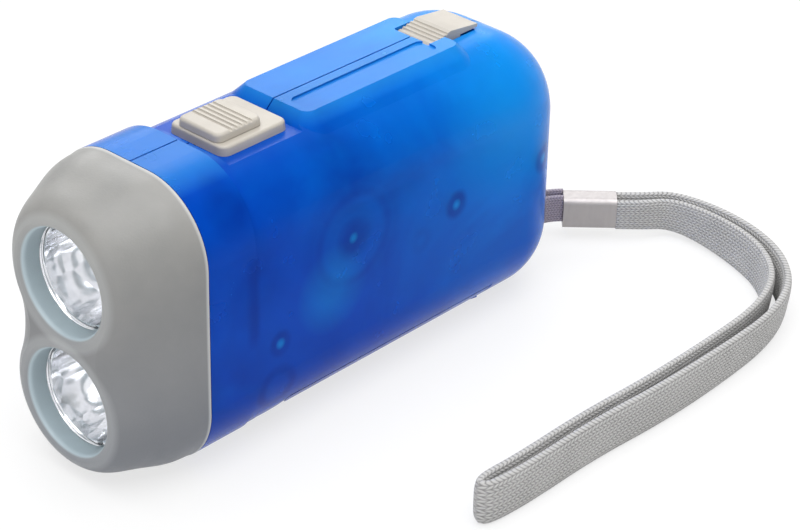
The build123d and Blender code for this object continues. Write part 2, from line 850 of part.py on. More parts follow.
with BuildPart() as flywheel:
    with BuildSketch(across(flywheel_y[1])):
        with Locations(rotor_centre):
            Circle(7.6)
            Circle(axle_radius + axle_play, mode=Mode.SUBTRACT)
    extrude(amount=flywheel_y[1] - flywheel_y[0])
    with BuildSketch(across(flywheel_y[1])):
        with Locations(rotor_centre):
            Circle(6.6)
            Circle(2.6, mode=Mode.SUBTRACT)
    extrude(amount=0.5, mode=Mode.SUBTRACT)
    with BuildSketch(across(magnet_y[1] + 0.1)):
        with Locations(rotor_centre):
            Circle(2.2)
            Circle(axle_radius + axle_play, mode=Mode.SUBTRACT)
    extrude(amount=magnet_y[1] + 0.1 - magnet_y[0])
    add(
        gear_disc(
            rotor_centre,
            pinion_teeth,
            train_module,
            to_rotor + 180 + half_tooth,
            flywheel_y[1],
            gear_layers[0] + face_width - flywheel_y[1],
            axle_radius + axle_play,
        )
    )
flywheel.part.label = "flywheel"
export_step(flywheel.part, "parts/flywheel.step")

with BuildPart() as rotor_magnet:
    with BuildSketch(across(magnet_y[1])):
        with Locations(rotor_centre):
            Circle(magnet_radius)
            Circle(2.2, mode=Mode.SUBTRACT)
    extrude(amount=magnet_y[1] - magnet_y[0])
rotor_magnet.part.label = "rotor_magnet"
export_step(rotor_magnet.part, "parts/rotor_magnet.step")


def claw_ring(name, plate_y, plate_thickness, plate_hole, start_angle, claw_from, claw_to, rim):
    """A pressed steel plate with claws bent over the magnet."""
    with BuildPart() as claws:
        with BuildSketch(across(plate_y + plate_thickness)):
            with Locations(rotor_centre):
                Circle(rim)
                Circle(plate_hole, mode=Mode.SUBTRACT)
        extrude(amount=plate_thickness)
        with BuildSketch(across(claw_from + plate_thickness)):
            with Locations(rotor_centre):
                with PolarLocations(claw_inner, claw_count, start_angle):
                    Rectangle(1.6, 2.2)
        extrude(amount=plate_thickness)
        with BuildSketch(across(claw_to)):
            for claw in range(claw_count):
                angle = start_angle + claw * 360 / claw_count - claw_spread / 2
                with BuildLine():
                    inner = CenterArc(rotor_centre, claw_inner, angle, claw_spread)
                    outer = CenterArc(rotor_centre, claw_outer, angle, claw_spread)
                    Line(inner @ 0, outer @ 0)
                    Line(inner @ 1, outer @ 1)
                make_face()
        extrude(amount=claw_to - claw_from)
    claws.part.label = name
    export_step(claws.part, f"parts/{name}.step")


plate = 0.7
claw_ring("outer_claws", stator_back, plate, 1.5, 0, stator_back, claw_end, claw_outer)
claw_ring("inner_claws", coil_front, plate, 1.5, 30, coil_front, claw_end, claw_inner - 0.1)

spool_core = 2.6
spool_radius = claw_inner - 0.3
flange = 0.6
spool_from = stator_back + plate
spool_to = coil_front
with BuildPart() as coil_spool:
    with BuildSketch(across(spool_to)):
        with Locations(rotor_centre):
            Circle(spool_radius)
            Circle(1.5, mode=Mode.SUBTRACT)
    extrude(amount=spool_to - spool_from)
    with BuildSketch(across(spool_to - flange)):
        with Locations(rotor_centre):
            Circle(spool_radius + 1)
            Circle(spool_core, mode=Mode.SUBTRACT)
    extrude(amount=spool_to - spool_from - 2 * flange, mode=Mode.SUBTRACT)
coil_spool.part.label = "coil_spool"
export_step(coil_spool.part, "parts/coil_spool.step")

with BuildPart() as coil_winding:
    with BuildSketch(across(spool_to - flange)):
        with Locations(rotor_centre):
            Circle(spool_radius - 0.5)
            Circle(spool_core, mode=Mode.SUBTRACT)
    extrude(amount=spool_to - spool_from - 2 * flange)
coil_winding.part.label = "coil_winding"
export_step(coil_winding.part, "parts/coil_winding.step")

# ---------------------------------------------------------------- axles
for name, centre in (
    ("drive_axle", drive_centre),
    ("idler_axle", idler_centre),
    ("counter_axle", counter_centre),
    ("rotor_axle", rotor_centre),
):
    with BuildPart() as axle:
        with BuildSketch(across(pin_right_end - 0.1)):
            with Locations(centre):
                Circle(axle_radius)
        extrude(amount=pin_right_end - pin_left_end - 0.2)
        chamfer(axle.edges(), 0.15)
    axle.part.label = name
    export_step(axle.part, f"parts/{name}.step")

# ---------------------------------------------------------------- lever
lever_bottom_front = 1.45
lever_bottom_rear = 0.35
lever_top = opening_top - lever_gap
lever_lug = lug_radius + lever_gap
plate_top = 12.0
ear_radius = 3.7
rim_inner = lever_rim - lever_wall
rim_top_angle = 36.5
tongue_half_width = 5.9
tongue_angle = 40.6
tongue_base_angle = 30.0
with BuildPart() as tray_profile:
    with BuildSketch(across(0)):
        with BuildLine():
            start_angle = -53.0
            end_angle = -math.degrees(math.asin((pivot_z - lever_top) / lever_lug))
            front = CenterArc(pivot, lever_lug, start_angle, end_angle - start_angle)
            top_angle = -math.degrees(math.asin((pivot_z - lever_top) / lever_rim))
            top_rear = polar(pivot, lever_rim, top_angle)
            Line(front @ 1, top_rear)
            low_angle = -math.degrees(math.asin((pivot_z - 3.4) / lever_rim))
            rear = CenterArc(pivot, lever_rim, top_angle, low_angle - top_angle)
            end = ThreePointArc(rear @ 1, (29.8, 1.15), (26.4, lever_bottom_rear))
            nose_end = (pivot_x + 9.6, lever_bottom_front)
            Line(end @ 1, nose_end)
            ThreePointArc(nose_end, (pivot_x + 5.9, 2.9), front @ 0)
        make_face()
    extrude(amount=body_half_width + 2, both=True)

with BuildPart() as tray_hollow:
    with BuildSketch(across(0)):
        with BuildLine():
            inner_front = CenterArc(pivot, lever_lug + lever_wall, -46, 46)
            inner_rear = CenterArc(pivot, rim_inner, -12, 12)
            Line(inner_front @ 0, inner_rear @ 0)
            Line(inner_front @ 1, inner_rear @ 1)
        make_face()
    extrude(amount=body_half_width, both=True)
    inner_block = rounded_block(
        body_half_width - lever_wall,
        lever_wall + 0.5,
        body_top,
        rear_x,
        edge_radius - lever_wall,
        rear_top_radius,
        rear_bottom_radius,
    )
    add(inner_block, mode=Mode.INTERSECT)

with BuildPart() as lever:
    add(tray_profile.part)
    add(outer_form, mode=Mode.INTERSECT)
    add(tray_hollow.part, mode=Mode.SUBTRACT)
    # curved end wall, with a tongue that carries the top of the rack
    for top_angle, half_width in ((tongue_base_angle, lever_side), (rim_top_angle, tongue_half_width)):
        with BuildSketch(across(half_width)):
            with BuildLine():
                outer_arc = CenterArc(pivot, lever_rim, -8.5, top_angle + 8.5)
                inner_arc = CenterArc(pivot, rim_inner, -8.5, top_angle + 8.5)
                Line(outer_arc @ 0, inner_arc @ 0)
                Line(outer_arc @ 1, inner_arc @ 1)
            make_face()
        extrude(amount=2 * half_width)
    # side plates that run to the hinge ears
    for side_sign in (-1, 1):
        with BuildSketch(across(side_sign * lever_side)):
            with BuildLine():
                Polyline(
                    (pivot_x, pivot_z - ear_radius),
                    (pivot_x + lug_radius + 0.6, pivot_z - 1.3),
                    (pivot_x + lug_radius + 2.2, 3.2),
                    (29.5, 3.2),
                    (30.6, plate_top),
                    (pivot_x + 6.0, plate_top),
                    (pivot_x, pivot_z + ear_radius),
                    close=True,
                )
            make_face()
            with Locations(pivot):
                Circle(ear_radius)
        extrude(amount=side_sign * lever_wall)
        with BuildSketch(across(side_sign * lever_side)):
            with Locations(pivot):
                Circle(3.2)
        extrude(amount=side_sign * 3.6)
    with BuildSketch(across(lever_side + 1)):
        with Locations(pivot):
            Circle(pivot_pin_radius + axle_play)
    extrude(amount=2 * lever_side + 2, mode=Mode.SUBTRACT)
lever.part.label = "lever"
export_step(lever.part, "parts/lever.step")

# The catch on top of the end wall, with a window for the lock's hook.
window_top_angle = 39.2
window_half_width = 2.3
window_y = -2.6
with BuildPart() as lock_catch:
    for low, high, mode in (
        (rim_top_angle, tongue_angle, Mode.ADD),
        (rim_top_angle - 1, window_top_angle, Mode.SUBTRACT),
    ):
        whole = mode == Mode.ADD
        reach = 0.0 if whole else 0.5
        near_y = tongue_half_width if whole else window_y + window_half_width
        width = 2 * (tongue_half_width if whole else window_half_width)
        with BuildSketch(across(near_y)):
            with BuildLine():
                outer_arc = CenterArc(pivot, lever_rim + reach, low, high - low)
                inner_arc = CenterArc(pivot, rim_inner - reach, low, high - low)
                Line(outer_arc @ 0, inner_arc @ 0)
                Line(outer_arc @ 1, inner_arc @ 1)
            make_face()
        extrude(amount=width, mode=mode)
lock_catch.part.label = "lock_catch"
export_step(lock_catch.part, "parts/lock_catch.step")

# The toothed rack, seated on the inside of the curved end wall.
rack_low_angle = 14.0
rack_high_angle = 40.5
rack_y = gear_layers[3]


def rack_outline():
    """The rack's outline: inward teeth with a space on the line to the first gear."""
    tip = rack_radius - 0.82 * rack_module
    root = rack_radius + 1.2 * rack_module
    step = 360 / rack_teeth
    first = math.ceil((rack_low_angle - rack_direction) / step - 0.5)
    last = math.floor((rack_high_angle - rack_direction) / step - 0.5)
    points = [polar(pivot, root, rack_low_angle)]
    for tooth in range(first, last):
        middle = rack_direction + (tooth + 0.5) * step
        for radius in (root, tip):
            half = step / 2 - math.degrees(flank(rack_teeth, rack_module, radius))
            half -= 2 * math.degrees(backlash / (2 * rack_radius))
            points.append(polar(pivot, radius, middle - half))
        for radius in (tip, root):
            half = step / 2 - math.degrees(flank(rack_teeth, rack_module, radius))
            half -= 2 * math.degrees(backlash / (2 * rack_radius))
            points.append(polar(pivot, radius, middle + half))
    points.append(polar(pivot, root, rack_high_angle))
    return points


with BuildPart() as sector_rack:
    with BuildSketch(across(rack_y + rack_face)):
        with BuildLine():
            back = CenterArc(pivot, rim_inner, rack_low_angle, rack_high_angle - rack_low_angle)
            teeth = rack_outline()
            Polyline(*teeth)
            Line(back @ 0, teeth[0])
            Line(back @ 1, teeth[-1])
        make_face()
    extrude(amount=rack_face)
sector_rack.part.label = "sector_rack"
export_step(sector_rack.part, "parts/sector_rack.step")

with BuildPart() as lever_pin:
    with BuildSketch(across(pin_right_end - 0.1)):
        with Locations(pivot):
            Circle(pivot_pin_radius)
    extrude(amount=pin_right_end - pin_left_end - 0.2)
    chamfer(lever_pin.edges(), 0.25)
lever_pin.part.label = "lever_pin"
export_step(lever_pin.part, "parts/lever_pin.step")

# ---------------------------------------------------------------- lock button
lock_front_x = 26.4
lock_rear_x = 37.8
lock_knee_x = 30.6
lock_body_rear_x = 33.6
lock_front_top = 48.8
lock_top = 49.75
lock_rear_top = 48.95
lock_half_width = lock_slot_half_width - 0.2
lock_base = 45.3
hook_plate_z = (44.75, 45.85)
hook_x = 13.2
hook_tip_x = 17.4
hook_z = (41.35, 42.1)
with BuildPart() as lock_button:
    with BuildSketch(across(lock_half_width)):
        with BuildLine():
            Polyline(
                (lock_front_x, lock_base),
                (lock_front_x, lock_front_top - 0.3),
                (lock_front_x + 0.5, lock_front_top),
                (lock_knee_x, lock_top - 0.15),
                (lock_knee_x + 0.7, lock_top),
                (lock_rear_x, lock_rear_top),
                (lock_rear_x, body_top + 0.25),
                (lock_body_rear_x, body_top + 0.25),
                (lock_body_rear_x, lock_base),
                close=True,
            )
        make_face()
    extrude(amount=2 * lock_half_width)
    with BuildSketch(across(lock_half_width)):
        for groove in range(4):
            along = 0.18 + 0.24 * groove
            groove_x = lock_front_x + 0.5 + along * (lock_knee_x - lock_front_x - 0.5)
            groove_z = lock_front_top + along * (lock_top - 0.15 - lock_front_top) + 0.1
            with Locations((groove_x, groove_z)):
                Circle(0.32)
    extrude(amount=2 * lock_half_width, mode=Mode.SUBTRACT)
    with BuildSketch(Plane.XY.offset(hook_plate_z[0])):
        with Locations(((hook_x + lock_body_rear_x) / 2, -1.9)):
            Rectangle(lock_body_rear_x - hook_x, 4.6)
    extrude(amount=hook_plate_z[1] - hook_plate_z[0])
    with BuildSketch(across(window_y + window_half_width - 0.4)):
        with BuildLine():
            Polyline(
                (hook_x, hook_plate_z[1] - 0.5),
                (hook_x, hook_z[0]),
                (hook_tip_x - 0.3, hook_z[0]),
                (hook_tip_x, hook_z[1]),
                (hook_x + 1.4, hook_z[1]),
                (hook_x + 1.4, hook_plate_z[1] - 0.5),
                close=True,
            )
        make_face()
    extrude(amount=2 * (window_half_width - 0.4))
lock_button.part.label = "lock_button"
export_step(lock_button.part, "parts/lock_button.step")

# ---------------------------------------------------------------- lever spring
spring_wire = 0.35
spring_radius = 2.4
spring_turns = 3
spring_pitch = 1.3
print("spring gap", round(spring_pitch - 2 * spring_wire, 2))
with BuildPart() as lever_spring:
    coil_plane = Plane(origin=(pivot_x, -spring_turns * spring_pitch / 2, pivot_z), z_dir=(0, 1, 0))
    with BuildLine() as coil_path:
        Helix(
            pitch=spring_pitch,
            height=spring_pitch * spring_turns,
            radius=spring_radius,
            center=(pivot_x, -spring_turns * spring_pitch / 2, pivot_z),
            direction=(0, 1, 0),
        )
    with BuildSketch(Plane(origin=coil_path.line @ 0, z_dir=coil_path.line % 0)):
        Circle(spring_wire)
    sweep()
lever_spring.part.label = "lever_spring"
export_step(lever_spring.part, "parts/lever_spring.step")

# ---------------------------------------------------------------- screws
with BuildPart() as case_screws:
    for place in screw_places:
        with BuildSketch(across(screw_head_y + screw_head_height)):
            with Locations(place):
                Circle(screw_head_radius)
        extrude(amount=screw_head_height)
        with BuildSketch(across(screw_head_y)):
            with Locations(place):
                Circle(screw_radius)
        extrude(amount=screw_head_y + 7.5)
        with BuildSketch(across(screw_head_y + screw_head_height)):
            with Locations(place):
                Rectangle(2.6, 0.5)
                Rectangle(0.5, 2.6)
        extrude(amount=0.7, mode=Mode.SUBTRACT)
case_screws.part.label = "case_screws"
export_step(case_screws.part, "parts/case_screws.step")

# ---------------------------------------------------------------- strap
with BuildPart() as strap_pin:
    with BuildSketch(Plane.XY.offset(eye_z - eye_height / 2 - 0.5)):
        with Locations((eye_x, 0)):
            Circle(eye_pin_radius)
    extrude(amount=eye_height + 1.25)
strap_pin.part.label = "strap_pin"
export_step(strap_pin.part, "parts/strap_pin.step")

ferrule_start = (61.5, -5.2)
ferrule_heading = -47.0
ferrule_length = 9.5
ferrule_height = 6.0
ferrule_thickness = 4.6
ferrule_end = polar(ferrule_start, ferrule_length, ferrule_heading)
ferrule_z = 5.0
strap_z = 4.02


def fold_radii(points, share=0.45):
    """The largest radius that each corner's two runs allow."""
    radii = []
    for before, here, after in zip(points, points[1:], points[2:]):
        run = min(math.dist(before, here), math.dist(here, after))
        first = math.atan2(here[1] - before[1], here[0] - before[0])
        second = math.atan2(after[1] - here[1], after[0] - here[0])
        turn = abs((second - first + math.pi) % (2 * math.pi) - math.pi)
        radii.append(share * run / math.tan(turn / 2))
    return radii


def band(name, points, height, thickness, width):
    """A flat band standing on edge along a route of runs and tangent arcs."""
    radii = fold_radii(points)
    print(name, "radii", [round(radius, 1) for radius in radii])
    spatial = [(x, y, height) for x, y in points]
    with BuildPart() as strip:
        with BuildLine() as route:
            FilletPolyline(*spatial, radius=radii)
        start = Plane(origin=route.line @ 0, x_dir=(0, 0, 1), z_dir=route.line % 0)
        with BuildSketch(start):
            Rectangle(width, thickness)
        sweep()
    length = sum(edge.length for edge in route.edges())
    print(name, "volume", round(strip.part.volume), "section x length", round(width * thickness * length))
    strip.part.label = name
    export_step(strip.part, f"parts/{name}.step")


def beside(point, degrees, along, aside):
    """A point moved along a heading and to the left of it."""
    return polar(polar(point, along, degrees), aside, degrees + 90)


layer_shift = (strap_thickness + strap_gap) / 2
# The loop's outer layer, from the ferrule out to the fold, then the inner layer back.
strap_route = [
    beside(ferrule_end, ferrule_heading, 0, layer_shift),
    beside(ferrule_end, ferrule_heading, 4.6, layer_shift),
    (75.6, -20.8),
    (77.8, -28.6),
    (77.6, -37.6),
    (73.6, -46.2),
    (66.4, -52.6),
    (56.0, -56.2),
    (42.0, -57.0),
    (26.0, -56.8),
    (10.0, -55.0),
    (-6.0, -55.1),
    (-13.9, -54.5),
    (-15.1, -53.1),
    (-13.9, -51.7),
    (-6.0, -52.1),
    (10.0, -52.0),
    (26.0, -53.8),
    (42.0, -54.0),
    (55.4, -53.2),
    (64.8, -50.0),
    (71.1, -44.2),
    (74.6, -37.0),
    (74.8, -28.9),
    (73.1, -22.2),
    beside(ferrule_end, ferrule_heading, 4.6, -layer_shift),
    beside(ferrule_end, ferrule_heading, 0, -layer_shift),
]
eye_route = [
    beside(ferrule_start, ferrule_heading, 0, -1.2),
    beside(ferrule_start, ferrule_heading, -3.2, -1.2),
    (50.0, -2.6),
    (43.6, -2.4),
    (40.0, -2.2),
    (40.0, 2.2),
    (43.6, 2.4),
    (50.0, 1.0),
    beside(ferrule_start, ferrule_heading, -3.2, 1.2),
    beside(ferrule_start, ferrule_heading, 0, 1.2),
]
band("wrist_strap", strap_route, strap_z, strap_thickness, strap_width)
band("eye_loop", eye_route, eye_z, tape_thickness, tape_width)

with BuildPart() as strap_ferrule:
    along = math.radians(ferrule_heading)
    start = Plane(
        origin=(ferrule_start[0], ferrule_start[1], ferrule_z),
        x_dir=(0, 0, 1),
        z_dir=(math.cos(along), math.sin(along), 0),
    )
    with BuildSketch(start):
        RectangleRounded(ferrule_height, ferrule_thickness, 1.2)
    extrude(amount=ferrule_length)
strap_ferrule.part.label = "strap_ferrule"
export_step(strap_ferrule.part, "parts/strap_ferrule.step")
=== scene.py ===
import math

import bmesh
import bpy
from mathutils import Matrix, Vector


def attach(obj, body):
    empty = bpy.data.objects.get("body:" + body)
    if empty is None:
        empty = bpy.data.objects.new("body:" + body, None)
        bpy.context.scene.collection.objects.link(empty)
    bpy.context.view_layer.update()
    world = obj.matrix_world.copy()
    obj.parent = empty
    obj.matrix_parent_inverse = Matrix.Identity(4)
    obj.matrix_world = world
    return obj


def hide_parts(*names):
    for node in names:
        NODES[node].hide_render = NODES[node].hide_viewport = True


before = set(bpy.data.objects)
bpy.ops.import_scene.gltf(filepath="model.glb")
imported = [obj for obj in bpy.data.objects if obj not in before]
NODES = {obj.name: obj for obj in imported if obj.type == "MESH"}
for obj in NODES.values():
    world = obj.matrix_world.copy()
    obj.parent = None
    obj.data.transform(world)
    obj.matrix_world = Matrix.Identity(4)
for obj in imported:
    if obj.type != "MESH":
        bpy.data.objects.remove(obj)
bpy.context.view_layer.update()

scene = bpy.context.scene
scene.view_settings.view_transform = "Standard"


def metres(mm):
    """Millimetres, as a number or a vector, in metres."""
    return mm / 1000


# ---------------------------------------------------------------- camera, as the photograph saw it
PICTURE_WIDTH_PX = 800
SENSOR_MM = 36.0
FOCAL_PX = 2623.727
AZIMUTH, ELEVATION, ROLL = -47.576, 30.564, 1.307  # degrees
DISTANCE, SHIFT_X, SHIFT_Z = 392.349, 50.473, 11.973  # mm
FIT_ORIGIN = Vector((-50.0, 0.0, 23.8))  # mm
CLIP_START, CLIP_END = 0.02, 20  # m

az, el, roll = (math.radians(v) for v in (AZIMUTH, ELEVATION, ROLL))
back = Vector((math.sin(az) * math.cos(el), -math.cos(az) * math.cos(el), math.sin(el)))
right = Vector((math.cos(az), math.sin(az), 0))
up = back.cross(right)
cam_x = right * math.cos(roll) + up * math.sin(roll)
cam_y = -right * math.sin(roll) + up * math.cos(roll)
place = metres(back * DISTANCE + cam_x * SHIFT_X + cam_y * SHIFT_Z + FIT_ORIGIN)
camera_data = bpy.data.cameras.new("camera")
camera_data.sensor_width = SENSOR_MM
camera_data.lens = FOCAL_PX * SENSOR_MM / PICTURE_WIDTH_PX
camera_data.clip_start, camera_data.clip_end = CLIP_START, CLIP_END
camera = bpy.data.objects.new("camera", camera_data)
camera.matrix_world = Matrix((
    (cam_x.x, cam_y.x, back.x, place.x),
    (cam_x.y, cam_y.y, back.y, place.y),
    (cam_x.z, cam_y.z, back.z, place.z),
    (0, 0, 0, 1),
))
scene.collection.objects.link(camera)
scene.camera = camera


# ---------------------------------------------------------------- shader helpers
BEVEL_SAMPLES = 4


class Shader:
    """A material whose nodes are added by short calls."""

    def __init__(self, name):
        self.material = bpy.data.materials.new(name)
        self.material.use_nodes = True
        self.tree = self.material.node_tree
        self.tree.nodes.clear()
        self.out = self.tree.nodes.new("ShaderNodeOutputMaterial")
        self.bsdf = self.tree.nodes.new("ShaderNodeBsdfPrincipled")
        self.tree.links.new(self.bsdf.outputs[0], self.out.inputs["Surface"])
        self.coords = self.tree.nodes.new("ShaderNodeTexCoord").outputs["Object"]

    def link(self, a, b):
        self.tree.links.new(a, b)

    def put(self, socket, value):
        """Links a socket's value, or sets a plain one."""
        if isinstance(value, bpy.types.NodeSocket):
            self.link(value, socket)
        else:
            socket.default_value = value

    def set(self, **values):
        """Sets inputs of the Principled shader, named in lower case."""
        for name, value in values.items():
            self.put(self.bsdf.inputs[name.replace("_", " ").title().replace("Ior", "IOR")], value)

    def normal(self, height, distance, strength):
        """Gives the surface a bump from a height."""
        n = self.tree.nodes.new("ShaderNodeBump")
        n.inputs["Strength"].default_value = strength
        n.inputs["Distance"].default_value = distance
        self.put(n.inputs["Height"], height)
        self.link(n.outputs[0], self.bsdf.inputs["Normal"])

    def stretched(self, stretch):
        """The object's coordinates, scaled by a factor on each axis, or as they are."""
        if stretch is None:
            return self.coords
        m = self.tree.nodes.new("ShaderNodeMapping")
        m.inputs["Scale"].default_value = stretch
        self.link(self.coords, m.inputs["Vector"])
        return m.outputs[0]

    def noise(self, scale, detail=2.0, rough=0.5, stretch=None, distortion=0.0):
        n = self.tree.nodes.new("ShaderNodeTexNoise")
        n.inputs["Scale"].default_value = scale
        n.inputs["Detail"].default_value = detail
        n.inputs["Roughness"].default_value = rough
        n.inputs["Distortion"].default_value = distortion
        self.link(self.stretched(stretch), n.inputs["Vector"])
        return n.outputs["Fac"]

    def voronoi(self, scale, feature="F1", randomness=1.0):
        n = self.tree.nodes.new("ShaderNodeTexVoronoi")
        n.feature = feature
        n.inputs["Scale"].default_value = scale
        n.inputs["Randomness"].default_value = randomness
        self.link(self.coords, n.inputs["Vector"])
        return n.outputs["Distance"]

    def remap(self, value, low, high, to_low=0.0, to_high=1.0):
        """A value's range carried to another one, held at its ends."""
        n = self.tree.nodes.new("ShaderNodeMapRange")
        self.put(n.inputs["Value"], value)
        for key, v in (("From Min", low), ("From Max", high), ("To Min", to_low), ("To Max", to_high)):
            n.inputs[key].default_value = v
        return n.outputs[0]

    def math(self, op, a, b=0.0, clamp=False):
        n = self.tree.nodes.new("ShaderNodeMath")
        n.operation = op
        n.use_clamp = clamp
        self.put(n.inputs[0], a)
        self.put(n.inputs[1], b)
        return n.outputs[0]

    def times(self, a, b, clamp=False):
        return self.math("MULTIPLY", a, b, clamp)

    def plus(self, a, b):
        return self.math("ADD", a, b)

    def minus(self, a, b):
        return self.math("SUBTRACT", a, b)

    def mix(self, fac, a, b):
        """Colour a where the factor is 0, colour b where it is 1."""
        n = self.tree.nodes.new("ShaderNodeMix")
        n.data_type = "RGBA"
        self.put(n.inputs[0], fac)
        for socket, v in ((n.inputs[6], a), (n.inputs[7], b)):
            self.put(socket, v if isinstance(v, bpy.types.NodeSocket) else (*v, 1.0))
        return n.outputs[2]

    def axis(self, which, coords=None):
        n = self.tree.nodes.new("ShaderNodeSeparateXYZ")
        self.link(coords or self.coords, n.inputs[0])
        return n.outputs["XYZ".index(which)]

    def away_from(self, point, keep):
        """The distance in metres from a point, along the axes where keep is 1."""
        n = self.tree.nodes.new("ShaderNodeVectorMath")
        n.operation = "DISTANCE"
        self.link(self.stretched(keep), n.inputs[0])
        n.inputs[1].default_value = point
        return n.outputs["Value"]

    def disc(self, place, radius, soft, ring=None):
        """1 inside a disc seen from the side, at an (x, z) in mm, or on a ring of that radius."""
        x, z = place
        away = self.away_from((metres(x), 0.0, metres(z)), keep=(1.0, 0.0, 1.0))
        if ring is not None:
            away = self.math("ABSOLUTE", self.minus(away, metres(radius)))
            return self.remap(away, metres(ring), metres(ring + soft), 1.0, 0.0)
        return self.remap(away, metres(radius), metres(radius + soft), 1.0, 0.0)

    def around_axis(self, z, radius, soft):
        """1 within a radius of a lamp's axis, in mm."""
        away = self.away_from((0.0, 0.0, metres(z)), keep=(0.0, 1.0, 1.0))
        return self.remap(away, metres(radius), metres(radius + soft), 1.0, 0.0)

    def edges(self, radius):
        """0 on flats to 1 on edges, from a bevelled normal; the mask for painted edge highlights."""
        bevel = self.tree.nodes.new("ShaderNodeBevel")
        bevel.samples = BEVEL_SAMPLES
        bevel.inputs["Radius"].default_value = radius
        geo = self.tree.nodes.new("ShaderNodeNewGeometry")
        dot = self.tree.nodes.new("ShaderNodeVectorMath")
        dot.operation = "DOT_PRODUCT"
        self.link(bevel.outputs[0], dot.inputs[0])
        self.link(geo.outputs["Normal"], dot.inputs[1])
        return self.remap(dot.outputs["Value"], 1.0, 0.8)


def srgb(r, g, b):
    """A colour as it looks on screen, 0 to 255, as the linear values that nodes take."""
    return tuple(
        (v / 255 / 12.92) if v / 255 <= 0.04045 else ((v / 255 + 0.055) / 1.055) ** 2.4 for v in (r, g, b)
    )


def toned(colour, factor):
    """A colour made darker or lighter, held below white."""
    return tuple(min(1, v * factor) for v in colour)


# ---------------------------------------------------------------- the clear casing
# Places on the casing's side are (x, z) in mm.
GEAR_POST = (-4.4, 30.4)
AXLE_POST = (19.7, 26.8)
REAR_POST = (42.1, 26.7)
FRONT_POST = (-20.4, 18.1)
# Posts whose centres get a painted highlight.
LIT_CENTRES = (GEAR_POST, AXLE_POST, REAR_POST, FRONT_POST)

# Painted light patches: place, radius, soft edge and share.
LIT_PATCHES = (
    ((36.0, 41.0), 5.0, 15.0, 0.5),
    ((-9.0, 23.0), 2.0, 6.0, 0.3),
)

# Painted shade where posts, bosses and inner parts show darker: place, radius, soft edge, ring's half width
# and share.
PAINTED_SHADOWS = (
    (GEAR_POST, 7.6, 1.1, 0.25, 0.4),
    (GEAR_POST, 2.0, 2.2, None, 0.8),
    (GEAR_POST, 9.4, 2.2, 0.2, 0.25),
    (AXLE_POST, 1.5, 1.1, 0.35, 0.72),
    ((11.4, 23.5), 1.4, 1.2, 0.2, 0.22),
    (REAR_POST, 1.7, 1.0, 0.3, 0.6),
    (FRONT_POST, 1.5, 0.8, 0.3, 0.65),
    ((-21.0, 10.2), 3.3, 0.9, 0.3, 0.7),
    ((-29.0, 44.2), 2.2, 2.6, None, 0.6),
    ((-4.0, 42.4), 2.6, 5.5, None, 0.6),
    ((6.0, 36.5), 1.0, 6.0, None, 0.35),
    ((-25.4, 30.0), 3.4, 3.6, 0.3, 0.3),
    ((-31.5, 14.0), 3.0, 7.0, None, 0.5),
)

# Painted shade of the upright bar behind the head, in metres: its middle, and where it starts and ends
# fading.
BAR_X, BAR_X_FADE = -0.0262, (0.0005, 0.0018)
BAR_Z, BAR_Z_FADE = 0.028, (0.006, 0.0085)
# Heights in metres over which the painted highlight along the casing's top fades in.
TOP_HIGHLIGHT = (0.0474, 0.0491)


def blue_with_painted_light(s, cloud, flow):
    """Azure with painted light to the rear and the top, clouded, and with painted shade where the pieces
    behind it show softly.
    """
    painted_shade_blue = srgb(0, 50, 158)
    painted_light_blue = srgb(22, 176, 255)
    height = s.axis("Z")
    length = s.axis("X")
    # Painted light towards the rear and top, and a mask for painted shade towards the bottom.
    lit_rearward = s.remap(s.plus(length, s.times(height, 0.9)), 0.012, 0.084)
    downward = s.remap(s.plus(height, s.times(length, 0.25)), -0.004, 0.016, 0.5, 0.0)
    tint = s.mix(lit_rearward, srgb(0, 80, 204), srgb(0, 144, 246))
    tint = s.mix(s.remap(cloud, 0.42, 0.62, 0.0, 0.45), tint, srgb(0, 64, 182))
    tint = s.mix(s.remap(flow, 0.5, 0.72, 0.0, 0.4), tint, srgb(0, 138, 248))
    # Painted light patches on the side.
    for spot, radius, soft, share in LIT_PATCHES:
        tint = s.mix(s.times(s.disc(spot, radius, soft), share), tint, painted_light_blue)
    # Painted highlight along the top.
    tint = s.mix(s.remap(height, *TOP_HIGHLIGHT, 0.0, 0.4), tint, srgb(60, 178, 255))
    # Painted shade towards the bottom.
    tint = s.mix(downward, tint, srgb(0, 46, 160))
    wobble = s.remap(s.noise(180, 2, 0.5), 0.3, 0.7, 0.45, 1.0)
    # Painted shade where the inner parts show through.
    for spot, radius, soft, ring, share in PAINTED_SHADOWS:
        amount = s.times(s.disc(spot, radius, soft, ring), wobble)
        tint = s.mix(s.times(amount, share), tint, painted_shade_blue)
    # Painted highlights at the posts' centres.
    for spot in LIT_CENTRES:
        tint = s.mix(s.times(s.disc(spot, 0.3, 0.8), 0.45), tint, painted_light_blue)
    # Painted shade of the upright bar behind the head.
    bar_x = s.remap(s.math("ABSOLUTE", s.minus(length, BAR_X)), *BAR_X_FADE, 1.0, 0.0)
    bar_z = s.remap(s.math("ABSOLUTE", s.minus(height, BAR_Z)), *BAR_Z_FADE, 1.0, 0.0)
    return s.mix(s.times(s.times(bar_x, bar_z), 0.55), tint, painted_shade_blue)


def clear_blue():
    """Frosted azure plastic that some light passes through, with light and shade painted into its colour."""
    s = Shader("clear_blue")
    cloud = s.noise(42, 4, 0.6, distortion=0.8)
    flow = s.noise(26, 3, 0.55, stretch=(0.5, 1.0, 1.3), distortion=1.2)
    rough = s.remap(s.noise(150, 3), 0.3, 0.7, 0.2, 0.28)
    s.set(base_color=blue_with_painted_light(s, cloud, flow), roughness=rough, ior=1.42, transmission_weight=0.36)
    s.set(specular_ior_level=0.08, specular_tint=(0.04, 0.3, 1.0, 1))
    s.normal(flow, 0.0006, 0.12)
    return s.material


# ---------------------------------------------------------------- grey plastic
LAMP_AXES_Z = (34.3, 13.3)  # mm
